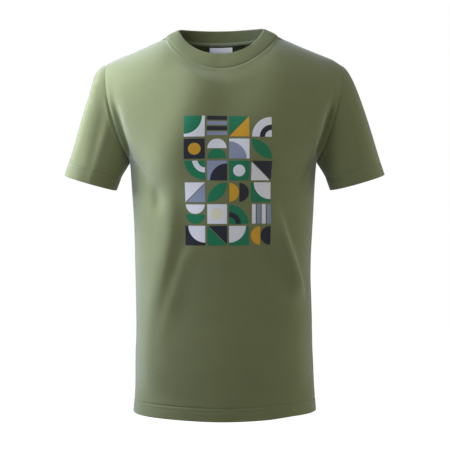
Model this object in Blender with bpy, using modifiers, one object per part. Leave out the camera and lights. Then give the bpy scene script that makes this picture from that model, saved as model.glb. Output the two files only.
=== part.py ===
# A child's short-sleeved T-shirt with a round neck, filled out as it is when worn.
# Metres, +Z up. The origin is midway between the two shoulder high points, where the neck seam
# crosses the shoulder seams. +X is to the right as one looks at the front, which faces -Y.
# A drop is a distance down from the shoulder high points.

import bpy
from math import acos, asin, cos, pi, radians, sin, sqrt
from mathutils import Vector

# Body
HEM_DROP = 0.567
WAIST_DROP = 0.411
UNDERARM_DROP = 0.188
HEM_HALF_WIDTH = 0.140
WAIST_HALF_WIDTH = 0.1325
UNDERARM_HALF_WIDTH = 0.141
FRONT_HEM_DEPTH = 0.089
FRONT_WAIST_DEPTH = 0.087
FRONT_CHEST_DEPTH = 0.100
BACK_HEM_DEPTH = 0.090
BACK_WAIST_DEPTH = 0.086
BACK_CHEST_DEPTH = 0.096
FRONT_FLATTENING = 0.3
FLATTENED_DROP = 0.340

# Shoulders and armholes
SHOULDER_HALF_WIDTH = 0.176
SHOULDER_DROP = 0.041
SHOULDER_SAG = 0.85
ARMHOLE_FRONT_DEPTH = 0.047
ARMHOLE_BACK_DEPTH = 0.052
ARMHOLE_FLARE = 0.9
FRONT_NECK_SLOPE_HEIGHT = 0.170
BACK_NECK_SLOPE_HEIGHT = 0.120

# Neck and collar
NECK_HALF_WIDTH = 0.084
FRONT_NECK_DROP = 0.052
BACK_NECK_DROP = 0.011
NECK_CURVE = 0.85
COLLAR_WIDTH = 0.0235
COLLAR_FRONT_LEAN = radians(22)
COLLAR_BACK_LEAN = radians(20)
COLLAR_SIDE_LEAN = radians(57)

# Sleeves
SLEEVE_HEM_REACH = 0.2025
SLEEVE_HEM_DROP = 0.220
SLEEVE_LEAN = radians(20)
SLEEVE_HEM_SLOPE = radians(16.6)
SLEEVE_HEM_HALF_WIDTH = 0.042
SLEEVE_HEM_HALF_DEPTH = 0.052
SLEEVE_CAP_FULLNESS = 0.080
SLEEVE_UNDERARM_FULLNESS = 0.025
SLEEVE_OUTER_HANG = 0.130
SLEEVE_INNER_HANG = 0.025
UNDERARM_SPREAD = radians(24)

# Cloth, hems and trim
JERSEY_THICKNESS = 0.0008
RIB_THICKNESS = 0.0018
HEM_THICKNESS = 0.0016
BODY_HEM_HEIGHT = 0.020
SLEEVE_HEM_HEIGHT = 0.020
TAPE_THICKNESS = 0.0008
TAPE_WIDTH = 0.009
TAPE_HALF_LENGTH = 0.0755
TAPE_SEAM_CLEARANCE = 0.0028
SHOULDER_TAPE_END = 0.006
LABEL_WIDTH = 0.035
LABEL_HEIGHT = 0.024
LABEL_THICKNESS = 0.0006
PRINT_WIDTH = 0.125
PRINT_HEIGHT = 0.186
PRINT_TOP_DROP = 0.123
PRINT_OFFSET = 0.007
PRINT_CORNER = 0.008
PRINT_THICKNESS = 0.0003
PRINT_CLEARANCE = 0.0006

# Gaps between pieces that are sewn together
SEAM_GAP = 0.0005
LINING_CLEARANCE = 0.0009

# How finely the curves are divided
NECK_COLUMNS = 7
SHOULDER_COLUMNS = 6
YOKE_ROWS = 12
BODY_ROWS = 12
SLEEVE_ROWS = 8
COLLAR_ROWS = 3
TAPE_COLUMNS = 8
TAPE_ROWS = 2
LABEL_COLUMNS = 4
LABEL_ROWS = 4
PRINT_COLUMNS = 10
PRINT_ROWS = 14
PRINT_CORNER_STEPS = 3
SEAM_SEARCH_STEPS = 30

FRONT = -1
BACK = 1

# Depths of the body in front and behind, and the neck and armhole on that side
SIDES = {
    FRONT: {
        "hem": FRONT_HEM_DEPTH,
        "waist": FRONT_WAIST_DEPTH,
        "chest": FRONT_CHEST_DEPTH,
        "armhole": ARMHOLE_FRONT_DEPTH,
        "neck_drop": FRONT_NECK_DROP,
        "neck_slope": FRONT_NECK_SLOPE_HEIGHT,
    },
    BACK: {
        "hem": BACK_HEM_DEPTH,
        "waist": BACK_WAIST_DEPTH,
        "chest": BACK_CHEST_DEPTH,
        "armhole": ARMHOLE_BACK_DEPTH,
        "neck_drop": BACK_NECK_DROP,
        "neck_slope": BACK_NECK_SLOPE_HEIGHT,
    },
}


def mix(a, b, share):
    return a + (b - a) * share


def clamp(value):
    return min(1.0, max(0.0, value))


def from_waist(drop):
    """0 at the waist, growing to 1 at the hem and at the underarm."""
    far = HEM_DROP if drop > WAIST_DROP else UNDERARM_DROP
    return clamp((drop - WAIST_DROP) / (far - WAIST_DROP))


def body_width(drop):
    """Half the body's width, which grows faster and faster away from the waist."""
    end = HEM_HALF_WIDTH if drop > WAIST_DROP else UNDERARM_HALF_WIDTH
    return mix(WAIST_HALF_WIDTH, end, from_waist(drop) ** 2)


def body_depth(drop, side):
    """The body's depth on one side, which levels out towards the hem and the chest."""
    form = SIDES[side]
    away = from_waist(drop)
    return mix(form["waist"], form["hem" if drop > WAIST_DROP else "chest"], away**2 * (3 - 2 * away))


def round_front(angle, drop, side):
    """The body's oval, from 1 in the middle to 0 at the side, flatter in front below the chest."""
    below = clamp((drop - UNDERARM_DROP) / (FLATTENED_DROP - UNDERARM_DROP))
    flattening = FRONT_FLATTENING * below**2 * (3 - 2 * below) if side == FRONT else 0.0
    return max(0.0, cos(angle)) ** (1 - flattening)


def armhole_share(drop):
    """0 at the underarm and below it, 1 at the shoulder tip and above it."""
    return clamp((UNDERARM_DROP - drop) / (UNDERARM_DROP - SHOULDER_DROP))


def edge_reach(drop):
    """How far out the panels' side edge lies: the side seam, then the armhole."""
    flare = sin(pi / 2 * armhole_share(drop) ** ARMHOLE_FLARE)
    return body_width(drop) + (SHOULDER_HALF_WIDTH - UNDERARM_HALF_WIDTH) * flare


def edge_angle(drop, side):
    """Angle round the body's oval at which that edge lies: a right angle at the side seam."""
    share = min(1.0, 2 * armhole_share(drop))
    round_in = sqrt(1 - (1 - share) ** 2)
    return acos(SIDES[side]["armhole"] / SIDES[side]["chest"] * round_in)


def ridge_drop(x):
    """Drop of the shoulder line at x; between the high points it is level."""
    past_neck = (abs(x) - NECK_HALF_WIDTH) / (SHOULDER_HALF_WIDTH - NECK_HALF_WIDTH)
    return SHOULDER_DROP * max(0.0, past_neck) ** SHOULDER_SAG


def rim_drop(x, side):
    """Drop of a panel's top edge at x: the neck seam's curve, then the shoulder seam."""
    if abs(x) < NECK_HALF_WIDTH:
        inside = 1 - (x / NECK_HALF_WIDTH) ** 2
        return SIDES[side]["neck_drop"] * inside**NECK_CURVE
    return ridge_drop(x)


def surface_point(x, angle, drop, side):
    """A point of the outer surface at a known angle round the body's oval."""
    form = SIDES[side]
    tip_slope = (UNDERARM_DROP - SHOULDER_DROP) / 2
    slope_height = mix(form["neck_slope"], tip_slope, min(1.0, abs(x) / SHOULDER_HALF_WIDTH))
    below = clamp((drop - ridge_drop(x)) / slope_height)
    over_shoulder = sqrt(1 - (1 - below) ** 2)
    outward = body_depth(drop, side) * round_front(angle, drop, side) * over_shoulder
    return Vector((x, side * outward, -drop))


def at_column(u, drop, side):
    """The outer surface at column u, from -1 to 1 between the side edges."""
    angle = edge_angle(drop, side)
    x = edge_reach(drop) * sin(u * angle) / sin(angle)
    return surface_point(x, u * angle, drop, side)


def at_place(x, drop, side):
    """The outer surface at x."""
    angle = edge_angle(drop, side)
    return surface_point(x, asin(x * sin(angle) / edge_reach(drop)), drop, side)


def surface_normal(x, drop, side, step=0.001):
    """The outward direction of the surface at x."""
    along = at_place(x + step, drop, side) - at_place(x - step, drop, side)
    down = at_place(x, drop + step, side) - at_place(x, drop - step, side)
    return (along.cross(down) * side).normalized()


def column_top(u, side):
    """The drop at which column u meets the neck or shoulder seam."""
    drop = 0.0
    for _ in range(SEAM_SEARCH_STEPS):
        angle = edge_angle(drop, side)
        x = edge_reach(drop) * sin(u * angle) / sin(angle)
        drop = rim_drop(x, side)
    return drop


def neck_column(side):
    """The column on which the shoulder high point lies."""
    angle = edge_angle(0.0, side)
    return asin(NECK_HALF_WIDTH / SHOULDER_HALF_WIDTH * sin(angle)) / angle


def columns(side):
    """Columns across a panel, with one on each shoulder high point."""
    neck = neck_column(side)
    half = [neck * sin(pi / 2 * n / NECK_COLUMNS) for n in range(NECK_COLUMNS)]
    half += [mix(neck, 1.0, n / SHOULDER_COLUMNS) for n in range(SHOULDER_COLUMNS + 1)]
    return [-u for u in reversed(half[1:])] + half


def material(name, colour, roughness):
    made = bpy.data.materials.new(name)
    made.use_nodes = True
    shader = made.node_tree.nodes["Principled BSDF"]
    shader.inputs["Base Color"].default_value = (*colour, 1.0)
    shader.inputs["Roughness"].default_value = roughness
    shader.inputs["Metallic"].default_value = 0.0
    return made


def sheet(name, rows, thickness, finish, closed=False, outward=False):
    """A wall grown from an open surface. Rows run top to bottom, points anticlockwise from above."""
    points = [point for row in rows for point in row]
    wide = len(rows[0])
    faces = []
    for r in range(len(rows) - 1):
        for c in range(wide if closed else wide - 1):
            across = (c + 1) % wide
            faces.append((r * wide + c, (r + 1) * wide + c, (r + 1) * wide + across, r * wide + across))
    mesh = bpy.data.meshes.new(name)
    mesh.from_pydata([tuple(point) for point in points], [], faces)
    mesh.update()
    mesh.shade_smooth()
    mesh.set_sharp_from_angle(angle=radians(50))
    mesh.materials.append(finish)
    piece = bpy.data.objects.new(name, mesh)
    shirt.objects.link(piece)
    wall = piece.modifiers.new("Wall", "SOLIDIFY")
    wall.thickness = thickness
    wall.offset = 1.0 if outward else -1.0
    return piece


def panel(name, side):
    """Front or back of the body, from the neck and shoulder seams to the hem band."""
    seam = Vector((0.0, side * SEAM_GAP / 2, 0.0))
    bottom = HEM_DROP - BODY_HEM_HEIGHT - SEAM_GAP
    rows = []
    for r in range(YOKE_ROWS + BODY_ROWS + 1):
        row = []
        for u in columns(side):
            top = column_top(u, side)
            if r <= YOKE_ROWS:
                drop = mix(top, UNDERARM_DROP, (1 - cos(pi * r / YOKE_ROWS)) / 2)
            else:
                drop = mix(UNDERARM_DROP, bottom, (r - YOKE_ROWS) / BODY_ROWS)
            row.append(at_column(u, drop, side) + seam)
        rows.append(row if side == FRONT else row[::-1])
    return sheet(name, rows, JERSEY_THICKNESS, jersey)


def body_hem():
    """The folded band round the bottom of the body."""
    rows = []
    for drop in (HEM_DROP - BODY_HEM_HEIGHT, HEM_DROP):
        front = [at_column(u, drop, FRONT) for u in columns(FRONT)]
        back = [at_column(u, drop, BACK) for u in reversed(columns(BACK))]
        rows.append(front + back[1:-1])
    return sheet("body_hem", rows, HEM_THICKNESS, jersey, closed=True)


def armhole_point(turn):
    """A point of the right armhole; turn is 0 at the shoulder tip and a quarter in front."""
    drop = mix(SHOULDER_DROP, UNDERARM_DROP, (1 - cos(turn)) / 2)
    return at_column(1.0, drop, FRONT if turn <= pi else BACK)


def slanted_down(lean):
    """The direction down and out to the right, at an angle from straight down."""
    return Vector((sin(lean), 0.0, -cos(lean)))


def sleeve_hem_point(turn, height):
    """A point round the right sleeve's opening, at a height above its edge."""
    out = Vector((cos(SLEEVE_HEM_SLOPE), 0.0, sin(SLEEVE_HEM_SLOPE)))
    middle = Vector((SLEEVE_HEM_REACH, 0.0, -SLEEVE_HEM_DROP))
    reach = out * SLEEVE_HEM_HALF_WIDTH * cos(turn)
    depth = Vector((0.0, -SLEEVE_HEM_HALF_DEPTH * sin(turn), 0.0))
    return middle + reach + depth - slanted_down(SLEEVE_LEAN) * height


def sleeve_point(turn, share):
    """The sleeve's outer surface, eased from the armhole into the straight of the hem."""
    under = (1 - cos(turn)) / 2
    slope = SHOULDER_DROP / (SHOULDER_HALF_WIDTH - NECK_HALF_WIDTH)
    off_shoulder = Vector((1.0, 0.0, -slope)).normalized()
    leave = off_shoulder.lerp(slanted_down(UNDERARM_SPREAD), under).normalized()
    leave *= mix(SLEEVE_CAP_FULLNESS, SLEEVE_UNDERARM_FULLNESS, under)
    arrive = slanted_down(SLEEVE_LEAN) * mix(SLEEVE_OUTER_HANG, SLEEVE_INNER_HANG, under)
    start = armhole_point(turn) + Vector((SEAM_GAP, 0.0, 0.0))
    end = sleeve_hem_point(turn, SLEEVE_HEM_HEIGHT + SEAM_GAP)
    eased = start.lerp(end, share**2 * (3 - 2 * share))
    return eased + leave * share * (1 - share) ** 2 - arrive * share**2 * (1 - share)


def mirrored(rows):
    """The same surface on the left, its points turned round so that it still faces out."""
    return [[Vector((-p.x, p.y, p.z)) for p in reversed(row)] for row in rows]


def pair(name, rows, thickness, closed=False):
    """A jersey piece on the right, and its mirror image on the left."""
    sheet(f"{name}_right", rows, thickness, jersey, closed)
    sheet(f"{name}_left", mirrored(rows), thickness, jersey, closed)


def sleeves():
    """The sleeves, each a tube from the armhole to a folded band round its opening."""
    turns = [pi * n / YOKE_ROWS for n in range(2 * YOKE_ROWS)]
    tube = [[sleeve_point(t, r / SLEEVE_ROWS) for t in reversed(turns)] for r in range(SLEEVE_ROWS + 1)]
    band = [[sleeve_hem_point(t, height) for t in reversed(turns)] for height in (SLEEVE_HEM_HEIGHT, 0.0)]
    pair("sleeve", tube, JERSEY_THICKNESS, closed=True)
    pair("sleeve_hem", band, HEM_THICKNESS, closed=True)


def neck_seam():
    """The neck seam as a closed loop, anticlockwise from above, starting at the left high point."""
    front = [u for u in columns(FRONT) if abs(u) <= neck_column(FRONT) + 1e-6]
    back = [u for u in reversed(columns(BACK)) if abs(u) <= neck_column(BACK) + 1e-6]
    loop = [at_column(u, column_top(u, FRONT), FRONT) for u in front]
    return loop + [at_column(u, column_top(u, BACK), BACK) for u in back[1:-1]]


def collar():
    """The folded rib band, standing on the neck seam and leaning in most at the sides."""
    seam = neck_seam()
    rising = []
    for n, point in enumerate(seam):
        along = seam[(n + 1) % len(seam)] - seam[n - 1]
        inward = Vector((-along.y, along.x, 0.0)).normalized()
        middle_lean = COLLAR_FRONT_LEAN if point.y < 0 else COLLAR_BACK_LEAN
        lean = mix(middle_lean, COLLAR_SIDE_LEAN, (point.x / NECK_HALF_WIDTH) ** 2)
        rising.append(inward * sin(lean) + Vector((0.0, 0.0, cos(lean))))
    rows = []
    for r in range(COLLAR_ROWS, -1, -1):
        height = mix(SEAM_GAP, COLLAR_WIDTH, r / COLLAR_ROWS)
        rows.append([point + rise * height for point, rise in zip(seam, rising)])
    return sheet("collar", rows, RIB_THICKNESS, rib, closed=True)


def inside(x, drop, side, depth):
    """A point under the outer surface, or over it where the depth is negative, measured square to it."""
    return at_place(x, drop, side) - surface_normal(x, drop, side) * depth


def neck_tape():
    """The tape over the back neck seam, inside."""
    depth = JERSEY_THICKNESS + LINING_CLEARANCE
    rows = []
    for r in range(TAPE_ROWS + 1):
        below = TAPE_SEAM_CLEARANCE + TAPE_WIDTH * r / TAPE_ROWS
        xs = [TAPE_HALF_LENGTH * n / TAPE_COLUMNS for n in range(TAPE_COLUMNS, -TAPE_COLUMNS - 1, -1)]
        rows.append([inside(x, rim_drop(x, BACK) + below, BACK, depth) for x in xs])
    return sheet("neck_tape", rows, TAPE_THICKNESS, jersey)


def shoulder_tapes():
    """The tapes under the shoulder seams, inside, from the collar to the armholes."""
    depth = JERSEY_THICKNESS + LINING_CLEARANCE
    rows = []
    for r in range(TAPE_ROWS + 1):
        y = TAPE_WIDTH * (0.5 - r / TAPE_ROWS)
        row = []
        for n in range(SHOULDER_COLUMNS + 1):
            start = NECK_HALF_WIDTH + SHOULDER_TAPE_END
            x = mix(start, SHOULDER_HALF_WIDTH - SHOULDER_TAPE_END, n / SHOULDER_COLUMNS)
            row.append(Vector((x, y, -ridge_drop(x) - depth)))
        rows.append(row)
    pair("shoulder_tape", rows, TAPE_THICKNESS)


def neck_label():
    """The bare woven label under the tape, inside the back."""
    depth = JERSEY_THICKNESS + LINING_CLEARANCE
    top = BACK_NECK_DROP + TAPE_SEAM_CLEARANCE + TAPE_WIDTH + SEAM_GAP
    rows = []
    for r in range(LABEL_ROWS + 1):
        drop = top + LABEL_HEIGHT * r / LABEL_ROWS
        xs = [LABEL_WIDTH * (0.5 - n / LABEL_COLUMNS) for n in range(LABEL_COLUMNS + 1)]
        rows.append([inside(x, drop, BACK, depth) for x in xs])
    return sheet("neck_label", rows, LABEL_THICKNESS, satin)


def chest_print():
    """The printed film on the chest, with rounded corners."""
    steps = PRINT_CORNER_STEPS
    corner = [PRINT_CORNER * (1 - cos(pi / 2 * n / steps)) for n in range(steps + 1)]
    straight = [mix(PRINT_CORNER, PRINT_HEIGHT - PRINT_CORNER, n / PRINT_ROWS) for n in range(1, PRINT_ROWS)]
    heights = corner + straight + [PRINT_HEIGHT - c for c in reversed(corner)]
    rows = []
    for down in heights:
        into = max(0.0, PRINT_CORNER - down, down - (PRINT_HEIGHT - PRINT_CORNER))
        half = PRINT_WIDTH / 2 - PRINT_CORNER + sqrt(PRINT_CORNER**2 - min(into, PRINT_CORNER) ** 2)
        drop = PRINT_TOP_DROP + down
        xs = [PRINT_OFFSET + half * (2 * n / PRINT_COLUMNS - 1) for n in range(PRINT_COLUMNS + 1)]
        rows.append([inside(x, drop, FRONT, -PRINT_CLEARANCE) for x in xs])
    return sheet("chest_print", rows, PRINT_THICKNESS, ink, outward=True)


for old in list(bpy.data.objects):
    bpy.data.objects.remove(old)
shirt = bpy.data.collections.new("t_shirt")
bpy.context.scene.collection.children.link(shirt)

jersey = material("olive_jersey", (0.165, 0.200, 0.110), 0.9)
rib = material("olive_rib", (0.160, 0.195, 0.105), 0.9)
satin = material("label_satin", (0.62, 0.62, 0.60), 0.6)
ink = material("print_ink", (0.72, 0.72, 0.70), 0.6)

panel("front_panel", FRONT)
panel("back_panel", BACK)
body_hem()
sleeves()
collar()
neck_tape()
shoulder_tapes()
neck_label()
chest_print()
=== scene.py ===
import bpy
import math
import numpy as np
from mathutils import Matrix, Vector, noise
from mathutils.kdtree import KDTree


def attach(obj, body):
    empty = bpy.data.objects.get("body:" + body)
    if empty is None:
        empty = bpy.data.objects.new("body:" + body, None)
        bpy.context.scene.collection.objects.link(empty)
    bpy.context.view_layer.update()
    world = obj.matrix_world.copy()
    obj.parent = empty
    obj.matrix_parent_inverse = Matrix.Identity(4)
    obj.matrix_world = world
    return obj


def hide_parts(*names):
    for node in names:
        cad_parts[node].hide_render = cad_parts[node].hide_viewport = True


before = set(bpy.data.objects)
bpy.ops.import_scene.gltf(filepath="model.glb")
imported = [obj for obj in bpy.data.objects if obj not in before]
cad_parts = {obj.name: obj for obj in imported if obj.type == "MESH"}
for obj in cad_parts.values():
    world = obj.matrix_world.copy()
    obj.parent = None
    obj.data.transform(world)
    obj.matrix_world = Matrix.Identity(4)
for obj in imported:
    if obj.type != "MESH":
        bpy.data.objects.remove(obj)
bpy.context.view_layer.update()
pi = math.pi
flip = np.array([-1.0, 1.0, 1.0])

# Metres. The shirt's front faces -Y, and a drop is measured down from the shoulder high points.
body = {
    "hemDrop": 0.567, "hemHeight": 0.020, "waistDrop": 0.411, "underarmDrop": 0.188,
    "hemHalf": 0.140, "waistHalf": 0.1325, "underarmHalf": 0.141,
    "shoulderHalf": 0.176, "shoulderDrop": 0.041, "shoulderSag": 0.85, "armholeFlare": 0.9,
    "neckHalf": 0.084, "neckCurve": 0.85, "flattenedDrop": 0.340,
    "columns": 138, "yokeRows": 112, "bodyRows": 150, "thickness": 0.0007,
}
front = {
    "side": -1, "flattening": 0.3, "hem": 0.089, "waist": 0.087, "chest": 0.100, "armhole": 0.047,
    "neckDrop": 0.052, "neckSlope": 0.170,
}
back = {
    "side": 1, "flattening": 0.0, "hem": 0.090, "waist": 0.086, "chest": 0.096, "armhole": 0.052,
    "neckDrop": 0.011, "neckSlope": 0.120,
}
forms = {"front": front, "back": back}
sides = ("right", "left")
scene = bpy.context.scene


def mix(a, b, share):
    return a + (b - a) * share


def smooth(share):
    share = np.clip(share, 0, 1)
    return share * share * (3 - 2 * share)


def ramp(value, start, width):  # rises softly from 0 at its start to 1; a negative width runs the other way
    return smooth((value - start) / width)


def hump(value, width, middle=0):
    return np.exp(-(((value - middle) / width) ** 2))


def unit(vectors):
    return vectors / np.maximum(np.linalg.norm(vectors, axis=-1, keepdims=True), 1e-12)


def stepLengths(points, axis):
    return np.linalg.norm(np.diff(points, axis=axis), axis=-1)


def walked(points, axis):  # distances from the first point
    steps = np.cumsum(stepLengths(points, axis), axis=axis)
    return np.concatenate([np.zeros_like(steps.take([0], axis)), steps], axis=axis)


def joined(grid, axis=1):  # its first column or row again after its last
    return np.concatenate([grid, grid.take([0], axis)], axis=axis)


def between(values, row, column):  # reads a grid between its points
    r, c = np.floor(row).astype(int), np.floor(column).astype(int)
    down, right = [part.reshape(part.shape + (1,) * (values.ndim - 2)) for part in (row - r, column - c)]
    upper = mix(values[r, c], values[r, c + 1], right)
    lower = mix(values[r + 1, c], values[r + 1, c + 1], right)
    return mix(upper, lower, down)


def fromWaist(drop, waist, hem, underarm, ease):
    below = drop > body["waistDrop"]
    far = np.where(below, body["hemDrop"], body["underarmDrop"])
    share = np.clip((drop - body["waistDrop"]) / (far - body["waistDrop"]), 0, 1)
    return mix(waist, np.where(below, hem, underarm), ease(share))


def depthAt(drop, form):
    return fromWaist(drop, form["waist"], form["hem"], form["chest"], smooth)


def armholeShare(drop):
    return np.clip((body["underarmDrop"] - drop) / (body["underarmDrop"] - body["shoulderDrop"]), 0, 1)


def edgeReach(drop):
    flare = np.sin(pi / 2 * armholeShare(drop) ** body["armholeFlare"])
    half = fromWaist(drop, body["waistHalf"], body["hemHalf"], body["underarmHalf"], np.square)
    return half + (body["shoulderHalf"] - body["underarmHalf"]) * flare


def edgeAngle(drop, form):
    share = np.minimum(1, 2 * armholeShare(drop))
    return np.arccos(form["armhole"] / form["chest"] * np.sqrt(1 - (1 - share) ** 2))


def ridgeDrop(x):
    pastNeck = (np.abs(x) - body["neckHalf"]) / (body["shoulderHalf"] - body["neckHalf"])
    return body["shoulderDrop"] * np.maximum(0, pastNeck) ** body["shoulderSag"]


def rimDrop(x, form):
    inside = np.clip(1 - (x / body["neckHalf"]) ** 2, 0, 1)
    return np.where(np.abs(x) < body["neckHalf"], form["neckDrop"] * inside ** body["neckCurve"], ridgeDrop(x))


def ovalPower(drop, form):  # the body's oval is flatter in front below the chest
    below = ramp(drop, body["underarmDrop"], body["flattenedDrop"] - body["underarmDrop"])
    return 1 - form["flattening"] * below


def belowRidge(x, drop, form):  # 0 on the shoulder ridge and 1 where the front or back is fully out
    tipSlope = (body["underarmDrop"] - body["shoulderDrop"]) / 2
    slope = mix(form["neckSlope"], tipSlope, np.minimum(1, np.abs(x) / body["shoulderHalf"]))
    return np.minimum(1, (drop - ridgeDrop(x)) / slope)


def columnX(u, drop, form):  # u runs from -1 to 1 between the side edges
    angle = edgeAngle(drop, form)
    return edgeReach(drop) * np.sin(u * angle) / np.sin(angle)


def atColumn(u, drop, form):
    x = columnX(u, drop, form)
    rounded = np.maximum(0, np.cos(u * edgeAngle(drop, form))) ** ovalPower(drop, form)
    below = np.maximum(0, belowRidge(x, drop, form))
    y = form["side"] * depthAt(drop, form) * rounded * np.sqrt(1 - (1 - below) ** 2)
    return np.stack(np.broadcast_arrays(x, y, -drop), axis=-1)


def columnAt(x, drop, form):
    angle = edgeAngle(drop, form)
    return np.arcsin(np.clip(x * np.sin(angle) / edgeReach(drop), -1, 1)) / angle


def atPlace(x, drop, form):
    return atColumn(columnAt(x, drop, form), drop, form)


def placeNormal(x, drop, form, step=0.001):
    along = atPlace(x + step, drop, form) - atPlace(x - step, drop, form)
    down = atPlace(x, drop + step, form) - atPlace(x, drop - step, form)
    return unit(np.cross(along, down)) * form["side"]


def columnTop(u, form):
    drop = np.zeros_like(u)
    for step in range(30):
        drop = rimDrop(columnX(u, drop, form), form)
    return drop


def gridNormals(points, closed=False):  # rows run down, columns to the right as seen from outside
    across = np.roll(points, -1, axis=1) - np.roll(points, 1, axis=1) if closed else np.gradient(points, axis=1)
    return unit(np.cross(np.gradient(points, axis=0), across))


# Seen from outside the front panel runs left to right and the back panel right to left
def panelPlaces(form):
    edge = np.array([0, 0.0035, 0.008, 0.014, 0.022, 0.034, 0.05])
    inner = np.linspace(-1 + edge[-1], 1 - edge[-1], body["columns"] - 2 * len(edge) + 3)[1:-1]
    u = np.concatenate([-1 + edge, inner, (1 - edge)[::-1]])
    if form is back:
        u = -u
    top = columnTop(u, form)
    share = np.arange(body["yokeRows"] + 1)[:, None] / body["yokeRows"]
    nearArmhole = ramp(np.abs(u), 0.75, 0.25)[None, :]
    down = mix(1 - np.cos(pi / 2 * share), (1 - np.cos(pi * share)) / 2, nearArmhole)
    yoke = top[None, :] + (body["underarmDrop"] - top)[None, :] * down
    hemLine = body["hemDrop"] - body["hemHeight"]
    close = hemLine - np.array([0.0065, 0.005, 0.0038, 0.0028, 0.002, 0.0012, 0.0005, 0])
    even = np.linspace(body["underarmDrop"], close[0], body["bodyRows"] + 1)[1:-1]
    below = np.concatenate([even, close])
    return u, np.concatenate([yoke, np.repeat(below[:, None], len(u), axis=1)])


def flatPlaces(points):  # distances across from the middle column, and down with the underarm row at its drop
    across, along = walked(points, 1), walked(points, 0)
    across -= across[:, [across.shape[1] // 2]]
    along += body["underarmDrop"] - along[[body["yokeRows"]]]
    return across, along


def toSides(across):
    return np.minimum(across - across[:, :1], across[:, -1:] - across)


def eased(points, across, along, form, cell=0.003, reach=0.012):  # softens the plain form's creases
    x, drop = np.meshgrid(np.arange(-0.216, 0.2161, cell), np.arange(-0.045, 0.6211, cell))
    oval = 1 - (x * np.sin(edgeAngle(drop, form)) / edgeReach(drop)) ** 2
    oval = np.sign(oval) * np.abs(oval) ** ovalPower(drop, form)
    soft = depthAt(drop, form) ** 2 * oval * (1 - (1 - belowRidge(x, drop, form)) ** 2)
    weights = np.exp(-0.5 * (np.arange(-12, 13) * cell / reach) ** 2)
    weights /= weights.sum()
    for axis in (0, 1):
        soft = np.apply_along_axis(np.convolve, axis, soft, weights, "same")
    read = between(soft, (-points[..., 2] - drop[0, 0]) / cell, (points[..., 0] - x[0, 0]) / cell)
    inside = ramp(toSides(across), 0, 0.018) * ramp(along - along[:1], 0, 0.016) * ramp(along[-1:] - along, 0, 0.040)
    made = points.copy()
    made[..., 1] = form["side"] * np.sqrt(np.maximum(0, mix(points[..., 1] ** 2, read, inside)))
    return made


def smoothRoute(route, steps=10):
    points = np.array(route, float) / 1000
    ends = np.concatenate([[2 * points[0] - points[1]], points, [2 * points[-1] - points[-2]]])
    t = np.arange(steps)[:, None] / steps
    made = []
    for n in range(1, len(ends) - 2):
        a, b, c, d = ends[n - 1 : n + 3]
        made.append(b + 0.5 * t * (c - a + t * (2 * a - 5 * b + 4 * c - d + t * (3 * (b - c) + d - a))))
    return np.concatenate(made + [points[-1:]])


def foldLift(across, along, folds):
    lift = np.zeros_like(across)
    for height, left, right, ends, route, *troughs in folds:
        route = smoothRoute(route)
        start, step = route[:-1], np.diff(route, axis=0)
        offX = across[..., None] - start[:, 0]
        offY = along[..., None] - start[:, 1]
        share = np.clip((offX * step[:, 0] + offY * step[:, 1]) / (step**2).sum(axis=1), 0, 1)
        gapX = offX - share * step[:, 0]
        gapY = offY - share * step[:, 1]
        gap = np.sqrt(gapX**2 + gapY**2)
        nearest = gap.argmin(axis=-1)[..., None]
        pick = lambda values: np.take_along_axis(values, nearest, axis=-1)[..., 0]
        here = nearest[..., 0]
        place = (pick(share) + here) / len(step)
        turned = step[here, 1] * pick(gapX) - step[here, 0] * pick(gapY)
        distance = pick(gap) * np.where(turned > 0, 1, -1)
        taper = smooth(place / ends[0]) * smooth((1 - place) / ends[1])
        shape = hump(distance, np.where(distance > 0, right, left) / 1000)
        for depth, offset, wide in troughs:
            shape = shape - depth * hump(distance, wide / 1000, offset / 1000)
        lift += height / 1000 * taper * shape
    return lift


def clothNoise(across, along, size, seed):
    flat = np.stack([across.ravel() / size, along.ravel() / size], axis=1)
    values = [noise.noise(Vector((a, b, seed))) for a, b in flat]
    return np.array(values).reshape(across.shape)


# The worn shirt isn't quite even: the collar sits a little to the left and the right side is fuller
lean = {
    "collar": -0.0035, "collarRise": 0.0012, "shoulder": 0.0035, "sleeve": 0.0025, "hem": 0.002,
    "tipFall": 0.0032, "leftTipFall": 0.0016, "leftHem": 0.0026, "hemFall": 0.0026, "hemRise": 0.0024,
}


def settled(points):
    moved = np.array(points, float)
    x, z = moved[..., 0].copy(), moved[..., 2].copy()
    neck = np.exp(-((x / 0.105) ** 4)) * ramp(z, -0.10, 0.07)
    shoulder, hem = hump(z, 0.03, -0.028), ramp(-z, 0.34, 0.10)
    moved[..., 0] += lean["collar"] * neck + ramp(x, 0.05, 0.10) * (lean["shoulder"] * shoulder + lean["hem"] * hem)
    moved[..., 0] += lean["sleeve"] * (hump(z, 0.07, -0.17) * ramp(x, 0.15, 0.05))
    moved[..., 2] += lean["collarRise"] * neck * np.clip(x / 0.08, -1, 1)
    lowest = ramp(-z, 0.47, 0.07)
    ahead = ramp(moved[..., 1], 0.01, -0.05)
    moved[..., 0] += lean["leftHem"] * ramp(-x, 0.05, 0.09) * lowest
    moved[..., 2] -= lean["hemFall"] * hump(x, 0.070) * ahead * lowest
    moved[..., 2] += lean["hemRise"] * ramp(x, 0.06, 0.05) * ahead * lowest
    tip = ramp(np.abs(x), 0.158, 0.018) * hump(z, 0.022, -0.044)
    moved[..., 2] -= np.where(x > 0, lean["tipFall"], lean["leftTipFall"]) * tip
    return moved


print("stage: lines of the seams")

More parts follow.
